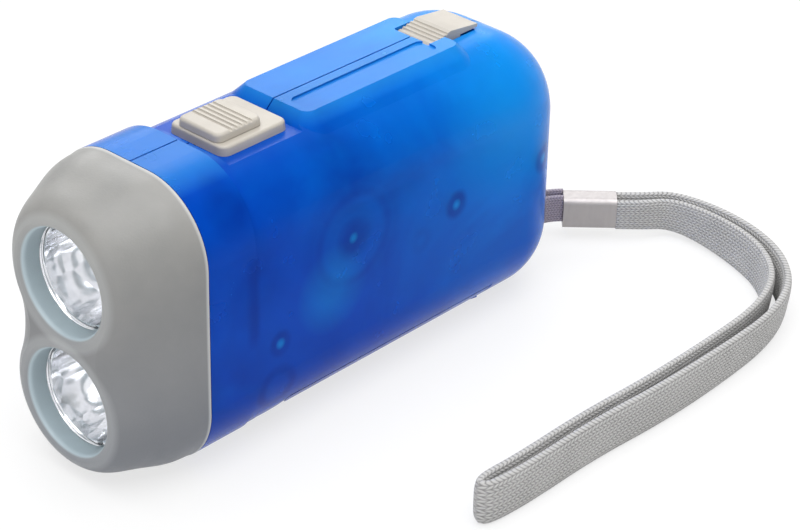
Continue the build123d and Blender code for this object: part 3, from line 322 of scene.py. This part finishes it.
# The mouths get a painted reflection and the rims a painted highlight.
MOUTH_RADIUS, MOUTH_SOFT = 9.0, 0.25  # mm
RIM_RADIUS, RIM_SOFT = 10.6, 1.0  # mm
FRONT_FACE = (-0.0492, -0.0475)  # m along X
# Where the painted highlight on the head's rear edge fades in.
HEAD_REAR_EDGE = (-0.0361, -0.0357)  # m along X
# Radius of the painted highlight on edges.
EDGE_HIGHLIGHT = 0.0005  # m


def head_painted_light(s, tint, low):
    """Painted shade darkens the head downwards, and painted reflection and highlights make its mouths, rims
    and rear edge paler.
    """
    # Painted shade towards the bottom.
    tint = s.mix(s.remap(s.axis("Z"), 0.002, 0.044, 0.85, 0.0), tint, low)
    for lamp_z in LAMP_AXES_Z:
        mouth = s.around_axis(lamp_z, MOUTH_RADIUS, MOUTH_SOFT)
        at_front = s.remap(s.axis("X"), *FRONT_FACE, 1.0, 0.0)
        rim = s.times(s.around_axis(lamp_z, RIM_RADIUS, RIM_SOFT), at_front)
        # Painted highlight on the rim, painted reflection in the mouth.
        tint = s.mix(s.times(rim, 0.2), tint, srgb(206, 210, 212))
        tint = s.mix(s.times(mouth, 0.85), tint, srgb(186, 204, 212))
    # Painted highlight on the head's rear edge.
    return s.mix(s.remap(s.axis("X"), *HEAD_REAR_EDGE, 0.0, 0.5), tint, srgb(214, 216, 216))


def grey_plastic(name, base, light, low=None):
    """Satin plastic with a fine grain and painted highlights on its edges; low is the head's painted shade
    near the floor.
    """
    s = Shader(name)
    cloud = s.noise(60, 4, 0.6)
    grain = s.noise(4200, 3, 0.65)
    pits = s.voronoi(2600)
    tint = s.mix(s.remap(cloud, 0.35, 0.68), base, light)
    if low is not None:
        tint = head_painted_light(s, tint, low)
    # Painted highlight on the edges.
    tint = s.mix(s.times(s.edges(EDGE_HIGHLIGHT), 0.3), tint, toned(light, 1.3))
    s.set(base_color=tint, roughness=s.remap(s.noise(420, 3), 0.3, 0.7, 0.36, 0.46), ior=1.49)
    s.normal(s.plus(grain, s.times(pits, 0.6)), 0.00003, 0.5)
    return s.material


# ---------------------------------------------------------------- lamps
def clear_lens():
    s = Shader("clear_lens")
    smear = s.noise(160, 4, 0.6, stretch=(1, 0.3, 1.6))
    s.set(base_color=(0.98, 0.99, 1.0, 1), roughness=s.remap(smear, 0.4, 0.75, 0.0, 0.05))
    s.set(ior=1.45, transmission_weight=1.0)
    return s.material


def mirror_coat():
    """Bright coating over the reflector's facets."""
    s = Shader("mirror_coat")
    rough = s.remap(s.noise(420, 3, 0.5), 0.3, 0.7, 0.1, 0.2)
    s.set(base_color=(*srgb(250, 250, 253), 1), metallic=0.92, roughness=rough)
    s.normal(s.voronoi(230), 0.0012, 0.6)
    return s.material


def lamp_epoxy():
    s = Shader("lamp_epoxy")
    rough = s.remap(s.noise(200, 2), 0.3, 0.7, 0.03, 0.1)
    s.set(base_color=(*srgb(240, 243, 240), 1), roughness=rough, ior=1.54, transmission_weight=0.8)
    return s.material


# ---------------------------------------------------------------- inner parts
def metal(name, colour, low, high, stretch=(1, 1, 1), scale=900):
    """Bare metal with fine lines and faint stains; low and high bound its roughness."""
    s = Shader(name)
    lines = s.noise(scale, 3, 0.6, stretch=stretch)
    stain = s.noise(90, 3, 0.6)
    tint = s.mix(s.remap(stain, 0.45, 0.8, 0.0, 0.5), colour, toned(colour, 0.6))
    s.set(base_color=tint, metallic=1.0, roughness=s.remap(lines, 0.3, 0.7, low, high))
    s.normal(lines, 0.00001, 0.5)
    return s.material


def moulded(name, dark, light, roughness):
    s = Shader(name)
    tint = s.mix(s.remap(s.noise(120, 3, 0.6), 0.35, 0.7), dark, light)
    s.set(base_color=tint)
    s.set(roughness=s.remap(s.noise(500, 3), 0.3, 0.7, roughness - 0.05, roughness + 0.08))
    s.normal(s.noise(3000, 3), 0.00002, 0.4)
    return s.material


def circuit_board():
    s = Shader("circuit_board")
    tracks = s.voronoi(420, "DISTANCE_TO_EDGE", randomness=0.2)
    weave = s.voronoi(1500, randomness=0.0)
    tint = s.mix(s.remap(tracks, 0.02, 0.05), srgb(70, 96, 52), srgb(24, 56, 30))
    tint = s.mix(s.remap(weave, 0.2, 0.5, 0.0, 0.3), tint, srgb(14, 36, 20))
    s.set(base_color=tint, roughness=0.32, coat_weight=0.2)
    s.normal(tracks, 0.00004, 0.4)
    return s.material


def winding():
    """Copper wire, wound in close bands, with painted shade between the turns."""
    s = Shader("winding")
    wave = s.tree.nodes.new("ShaderNodeTexWave")
    wave.wave_type = "BANDS"
    wave.bands_direction = "Y"
    wave.inputs["Scale"].default_value = 1400
    wave.inputs["Distortion"].default_value = 1.5
    s.link(s.coords, wave.inputs["Vector"])
    turns = wave.outputs["Fac"]
    # Painted shade: darker copper in the grooves between turns.
    s.set(base_color=s.mix(turns, srgb(96, 40, 16), srgb(196, 104, 52)), metallic=0.9, roughness=0.3)
    s.normal(turns, 0.0001, 0.6)
    return s.material


# ---------------------------------------------------------------- woven cord
STITCH_SLANT = 0.9
STITCH_ROUND_ACROSS, STITCH_ROUND_ALONG = 3.2, 3.4


def braid(name, base, dark, columns, step, depth):
    """Flat braided cord: rows of plump stitches in slanting pairs, from the piece's own map, with painted
    shade in the creases between them.
    """
    s = Shader(name)
    uv = s.tree.nodes.new("ShaderNodeUVMap")
    uv.uv_map = "braid"
    cell_u = s.times(s.axis("X", uv.outputs[0]), columns)
    across_cell = s.minus(s.math("FRACT", cell_u), 0.5)
    odd_column = s.math("MODULO", s.math("FLOOR", cell_u), 2.0)
    side = s.minus(s.times(odd_column, 2.0), 1.0)
    slant = s.times(s.times(across_cell, side), STITCH_SLANT)
    along = s.plus(s.math("DIVIDE", s.axis("Y", uv.outputs[0]), step), slant)
    cell_v = s.minus(s.math("FRACT", along), 0.5)
    across_round = s.minus(1.0, s.times(s.times(across_cell, across_cell), STITCH_ROUND_ACROSS))
    along_round = s.minus(1.0, s.times(s.times(cell_v, cell_v), STITCH_ROUND_ALONG))
    stitch = s.times(across_round, along_round, clamp=True)
    fibre = s.noise(9000, 3, 0.7, stretch=(1, 1, 0.35))
    tone = s.noise(130, 3, 0.6)
    # Painted shade between the stitches: dark in the creases, base on the stitch tops.
    shade = s.mix(s.remap(stitch, 0.15, 0.75), dark, base)
    shade = s.mix(s.remap(fibre, 0.35, 0.75, 0.0, 0.28), shade, toned(base, 0.62))
    shade = s.mix(s.remap(tone, 0.35, 0.7, 0.0, 0.18), shade, toned(base, 1.25))
    s.set(base_color=shade, roughness=0.86, sheen_weight=0.25, sheen_roughness=0.5)
    s.normal(s.plus(stitch, s.times(fibre, 0.12)), depth, 0.9)
    return s.material


# ---------------------------------------------------------------- which look each CAD piece has
BLUE = clear_blue()
# The head's low colour is painted shade near the floor.
GREY = grey_plastic("head_grey", srgb(132, 132, 130), srgb(143, 142, 139), low=srgb(97, 102, 112))
BUTTON_GREY = grey_plastic("button_grey", srgb(170, 164, 155), srgb(184, 178, 168))
STEEL = metal("ground_steel", srgb(176, 178, 182), 0.18, 0.32, (1, 0.1, 1))
PLATED = metal("plated_steel", srgb(168, 168, 160), 0.25, 0.42)
NICKEL = metal("nickel_strip", srgb(186, 184, 176), 0.2, 0.35, (1, 1, 0.15))
BLACKENED = metal("blackened_screw", srgb(70, 70, 74), 0.3, 0.5)
SPRING = metal("spring_wire", srgb(140, 142, 146), 0.2, 0.35)
FLYWHEEL = metal("turned_steel", srgb(150, 152, 156), 0.2, 0.36, scale=1300)
SLEEVE = metal("sleeve_metal", srgb(164, 160, 160), 0.42, 0.55, (1, 1, 0.2), scale=1400)
MAGNET = moulded("ferrite", srgb(26, 26, 28), srgb(44, 44, 48), 0.5)
GEAR = moulded("gear_plastic", srgb(206, 208, 204), srgb(228, 230, 226), 0.42)
SPOOL = moulded("spool_plastic", srgb(214, 212, 200), srgb(232, 230, 220), 0.5)
SLEEVED_CELL = moulded("cell_sleeve", srgb(20, 84, 48), srgb(30, 108, 62), 0.28)
COMPONENT = moulded("component_body", srgb(18, 18, 20), srgb(34, 34, 36), 0.4)
BOARD = circuit_board()
LENS = clear_lens()
MIRROR = mirror_coat()
EPOXY = lamp_epoxy()

LOOKS = {
    "left_shell": BLUE, "right_shell": BLUE, "lever": BLUE, "lock_catch": BLUE,
    "head_shell": GREY, "switch_cover": BUTTON_GREY, "switch_knob": BUTTON_GREY, "lock_button": BUTTON_GREY,
    "upper_lens": LENS, "upper_reflector": MIRROR, "upper_led": EPOXY,
    "lower_lens": LENS, "lower_reflector": MIRROR, "lower_led": EPOXY,
    "lamp_board": BOARD, "main_board": BOARD, "rectifier_diodes": COMPONENT, "battery": SLEEVED_CELL,
    "battery_tabs": NICKEL, "slide_switch": PLATED,
    "sector_rack": GEAR, "drive_gear": GEAR, "idler_gear": GEAR, "counter_gear": GEAR,
    "flywheel": FLYWHEEL, "rotor_magnet": MAGNET, "outer_claws": PLATED, "inner_claws": PLATED,
    "coil_spool": SPOOL, "coil_winding": winding(), "lever_spring": SPRING,
    "lever_pin": STEEL, "drive_axle": STEEL, "idler_axle": STEEL, "counter_axle": STEEL, "rotor_axle": STEEL,
    "case_screws": BLACKENED, "strap_pin": STEEL, "strap_ferrule": SLEEVE,
}
for node, look in LOOKS.items():
    for slot in NODES[node].material_slots:
        slot.material = look

# ---------------------------------------------------------------- wrist strap and eye tape, in metres
FERRULE_ANGLE = math.radians(-47)
FERRULE_LENGTH = 0.0095
FERRULE_START = Vector((0.0615, -0.0052, 0.0))
FERRULE_DIR = Vector((math.cos(FERRULE_ANGLE), math.sin(FERRULE_ANGLE), 0))
FERRULE_SIDE = Vector((-FERRULE_DIR.y, FERRULE_DIR.x, 0))
FERRULE_END = FERRULE_START + FERRULE_DIR * FERRULE_LENGTH
STRAP_WIDTH = 0.008
STRAP_THICK = 0.0017
STRAP_EASE = 0.0002
STRAP_Z, STRAP_END_Z = 0.00402, 0.0048
STRAP_STEP = 0.0006
LAYER = 0.0015
END_RUN = 0.0046
TAPE_WIDTH = 0.0055
TAPE_THICK = 0.0011
TAPE_Z = 0.00575
TAPE_STEP = 0.0004
TAPE_LAYER = 0.0012
TAPE_RUN = -0.0032


def beside(point, along, aside):
    """A place given from a point on the metal sleeve, along it and to its side."""
    p = point + FERRULE_DIR * along + FERRULE_SIDE * aside
    return (p.x, p.y)


strap_points = [
    beside(FERRULE_END, 0.0, LAYER),
    beside(FERRULE_END, END_RUN, LAYER),
    (0.0774, -0.0175),
    (0.0781, -0.0258),
    (0.0762, -0.0364),
    (0.0726, -0.0446),
    (0.0662, -0.0512),
    (0.0560, -0.0550),
    (0.0420, -0.0559),
    (0.0260, -0.0560),
    (0.0100, -0.0548),
    (-0.0060, -0.0551),
    (-0.0139, -0.0545),
    (-0.0151, -0.0533),
    (-0.0139, -0.0521),
    (-0.0060, -0.0526),
    (0.0100, -0.0523),
    (0.0260, -0.0532),
    (0.0420, -0.0529),
    (0.0554, -0.0519),
    (0.0652, -0.0484),
    (0.0708, -0.0426),
    (0.0739, -0.0358),
    (0.0758, -0.0263),
    (0.0753, -0.0188),
    beside(FERRULE_END, END_RUN, -LAYER),
    beside(FERRULE_END, 0.0, -LAYER),
]
eye_points = [
    beside(FERRULE_START, 0.0, -TAPE_LAYER),
    beside(FERRULE_START, TAPE_RUN, -TAPE_LAYER),
    (0.0500, -0.0026),
    (0.0436, -0.0024),
    (0.0400, -0.0022),
    (0.0400, 0.0022),
    (0.0436, 0.0024),
    (0.0500, 0.0010),
    beside(FERRULE_START, TAPE_RUN, TAPE_LAYER),
    beside(FERRULE_START, 0.0, TAPE_LAYER),
]

CURVE_STEPS = 24


def spline_line(name, points, height, end_height=None):
    """Points along the smooth NURBS route that has the given points as its control points."""
    data = bpy.data.curves.new(name, "CURVE")
    data.dimensions = "3D"
    data.resolution_u = CURVE_STEPS
    spline = data.splines.new("NURBS")
    spline.points.add(len(points) - 1)
    for i, (x, y) in enumerate(points):
        at_end = end_height is not None and min(i, len(points) - 1 - i) < 2
        spline.points[i].co = (x, y, end_height if at_end else height, 1)
    spline.order_u = 3
    spline.use_endpoint_u = True
    route = bpy.data.objects.new(name, data)
    scene.collection.objects.link(route)
    bpy.context.view_layer.update()
    mesh = bpy.data.meshes.new_from_object(route)
    line = [v.co.copy() for v in mesh.vertices]
    bpy.data.objects.remove(route)
    return line


def evenly(line, step):
    """The same line with evenly spaced points, ends kept, and its length."""
    lengths = [0.0]
    for a, b in zip(line, line[1:]):
        lengths.append(lengths[-1] + (b - a).length)
    count = max(2, round(lengths[-1] / step))
    out = []
    k = 0
    for i in range(count + 1):
        target = lengths[-1] * i / count
        while k < len(lengths) - 2 and lengths[k + 1] < target:
            k += 1
        span = max(1e-12, lengths[k + 1] - lengths[k])
        out.append(line[k].lerp(line[k + 1], (target - lengths[k]) / span))
    return out, lengths[-1]


SECTION_STEPS = 16
SECTION_INSET = 0.0002
EDGE_THINNING, EDGE_POWER = 0.55, 5


def band_section(width, thickness):
    """The band's lens-shaped outline, as (height, side) from its middle."""
    half, side = width / 2, thickness / 2
    face = []
    for i in range(SECTION_STEPS + 1):
        t = -1 + 2 * i / SECTION_STEPS
        face.append((t * (half - SECTION_INSET), side * (1 - EDGE_THINNING * abs(t) ** EDGE_POWER)))
    return face + [(z, -y) for z, y in reversed(face)]


def flat_band(name, line, width, thickness, body, material, twist=None, pinch=None):
    """A woven band on edge along a line, with a braid map; twist and pinch take the way travelled."""
    ring = band_section(width, thickness)
    mesh = bpy.data.meshes.new(name)
    bm = bmesh.new()
    uv_layer = bm.loops.layers.uv.new("braid")
    rows = []
    mapping = {}
    travelled = 0.0
    for i, p in enumerate(line):
        before, after = line[max(0, i - 1)], line[min(len(line) - 1, i + 1)]
        tangent = (after - before).normalized()
        side_dir = Vector((-tangent.y, tangent.x, 0)).normalized()
        if i:
            travelled += (p - line[i - 1]).length
        lean = twist(travelled) if twist else 0.0
        narrow = pinch(travelled) if pinch else 1.0
        up_dir = (Vector((0, 0, 1)) * math.cos(lean) + side_dir * math.sin(lean)).normalized()
        out_dir = tangent.cross(up_dir) * -1
        row = []
        for z, y in ring:
            vertex = bm.verts.new(p + up_dir * z * narrow + out_dir * y)
            row.append(vertex)
            mapping[vertex] = ((z + width / 2) / width, travelled)
        rows.append(row)
    count = len(ring)
    for row, following in zip(rows, rows[1:]):
        for j in range(count):
            nxt = (j + 1) % count
            face = bm.faces.new((row[j], row[nxt], following[nxt], following[j]))
            face.smooth = True
    bm.faces.new(rows[0])
    bm.faces.new(list(reversed(rows[-1])))
    for face in bm.faces:
        for loop in face.loops:
            loop[uv_layer].uv = mapping[loop.vert]
    bmesh.ops.recalc_face_normals(bm, faces=bm.faces)
    bm.to_mesh(mesh)
    bm.free()
    obj = bpy.data.objects.new(name, mesh)
    obj.data.materials.append(material)
    scene.collection.objects.link(obj)
    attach(obj, body)
    return obj


strap_line, strap_length = evenly(spline_line("strap_route", strap_points, STRAP_Z, STRAP_END_Z), STRAP_STEP)
eye_line, _ = evenly(spline_line("eye_route", eye_points, TAPE_Z), TAPE_STEP)

# Radians, and metres from the sleeve at which the lean comes and goes, on the way out and back.
LEAN = 0.12
LEAN_GROWS = (0.004, 0.03)
LEAN_FADES_OUT, LEAN_FADES_BACK = (0.05, 0.085), (0.045, 0.08)
PINCHED_SHARE = 0.74
PINCH_REACH = 0.03


def swell(x, low, high):
    """A smooth step from 0 to 1 between two values."""
    t = min(1.0, max(0.0, (x - low) / (high - low)))
    return t * t * (3 - 2 * t)


def strap_lean(travelled):
    """The strap's top leans outward round its bend, on the way out and on the way back."""
    remaining = strap_length - travelled
    out_part = swell(travelled, *LEAN_GROWS) * (1 - swell(travelled, *LEAN_FADES_OUT))
    back_part = swell(remaining, *LEAN_GROWS) * (1 - swell(remaining, *LEAN_FADES_BACK))
    return LEAN * out_part - LEAN * back_part


def strap_pinch(travelled):
    """The strap is drawn in where the metal sleeve grips it."""
    from_sleeve = min(travelled, strap_length - travelled)
    return PINCHED_SHARE + (1 - PINCHED_SHARE) * swell(from_sleeve, 0.0, PINCH_REACH)


# Each braid's second colour is painted shade in the creases between stitches.
WEBBING = braid("strap_braid", srgb(192, 191, 190), srgb(120, 119, 118), 13.0, 0.00085, 0.00016)
TAPE_WEAVE = braid("tape_weave", srgb(168, 158, 170), srgb(104, 96, 108), 12.0, 0.0006, 0.00008)
strap = flat_band(
    "woven_strap", strap_line, STRAP_WIDTH - STRAP_EASE, STRAP_THICK, "casing", WEBBING,
    twist=strap_lean, pinch=strap_pinch,
)
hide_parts("wrist_strap")
eye = flat_band("eye_tape", eye_line, TAPE_WIDTH, TAPE_THICK, "casing", TAPE_WEAVE)
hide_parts("eye_loop")

# ---------------------------------------------------------------- stage
FLOOR_HALF = 3.0  # m
FLOOR_DROP = 0.0001  # m, so that the floor doesn't share a plane with the object's feet
FLOOR_GREY = 0.88
FLOOR_GLOW = 0.72  # share of plain white that the background's rays see on the floor
WORLD_LIGHT, WORLD_SEEN = 0.34, 1.0
WHITE = (1.0, 1.0, 1.0, 1)


def seen_rays(tree):
    """1 for rays that show the background: the camera's, and those off gloss or through clear parts."""
    flags = tree.nodes.new("ShaderNodeLightPath").outputs
    total = flags["Is Camera Ray"]
    for name in ("Is Glossy Ray", "Is Transmission Ray"):
        either = tree.nodes.new("ShaderNodeMath")
        either.operation = "MAXIMUM"
        tree.links.new(total, either.inputs[0])
        tree.links.new(flags[name], either.inputs[1])
        total = either.outputs[0]
    return total


def paper_floor():
    """Pale matt paper that looks nearly white and still keeps the object's shadow."""
    s = Shader("paper_floor")
    s.set(base_color=(FLOOR_GREY, FLOOR_GREY, FLOOR_GREY, 1), roughness=0.9)
    glow = s.tree.nodes.new("ShaderNodeEmission")
    glow.inputs["Color"].default_value = WHITE
    blend = s.tree.nodes.new("ShaderNodeMixShader")
    s.link(s.times(seen_rays(s.tree), FLOOR_GLOW), blend.inputs[0])
    s.link(s.bsdf.outputs[0], blend.inputs[1])
    s.link(glow.outputs[0], blend.inputs[2])
    s.link(blend.outputs[0], s.out.inputs["Surface"])
    return s.material


floor_mesh = bpy.data.meshes.new("floor")
bm = bmesh.new()
bmesh.ops.create_grid(bm, x_segments=2, y_segments=2, size=FLOOR_HALF)
bm.to_mesh(floor_mesh)
bm.free()
floor = bpy.data.objects.new("floor", floor_mesh)
scene.collection.objects.link(floor)
floor.location.z = -FLOOR_DROP
floor.data.materials.append(paper_floor())

world = bpy.data.worlds.new("world")
scene.world = world
world.use_nodes = True
world_tree = world.node_tree
sky = world_tree.nodes["Background"]
sky.inputs["Color"].default_value = WHITE
strength = world_tree.nodes.new("ShaderNodeMapRange")
strength.inputs["To Min"].default_value = WORLD_LIGHT
strength.inputs["To Max"].default_value = WORLD_SEEN
world_tree.links.new(seen_rays(world_tree), strength.inputs["Value"])
world_tree.links.new(strength.outputs[0], sky.inputs["Strength"])


def softbox(name, location, target, size, energy):
    """A rectangular area lamp turned to a target."""
    light = bpy.data.lights.new(name, "AREA")
    light.shape = "RECTANGLE"
    light.size, light.size_y = size
    light.energy = energy
    lamp = bpy.data.objects.new(name, light)
    lamp.location = location
    lamp.rotation_mode = "QUATERNION"
    lamp.rotation_quaternion = (Vector(target) - Vector(location)).to_track_quat("-Z", "Y")
    scene.collection.objects.link(lamp)


softbox("top_box", location=(-0.05, -0.1, 0.75), target=(0.0, 0.0, 0.02), size=(0.9, 0.9), energy=7.2)
softbox("left_box", location=(-0.75, -0.25, 0.35), target=(-0.02, 0.0, 0.03), size=(0.6, 0.6), energy=1.3)
softbox("rear_box", location=(0.5, 0.6, 0.5), target=(0.0, 0.0, 0.03), size=(0.8, 0.5), energy=3.0)
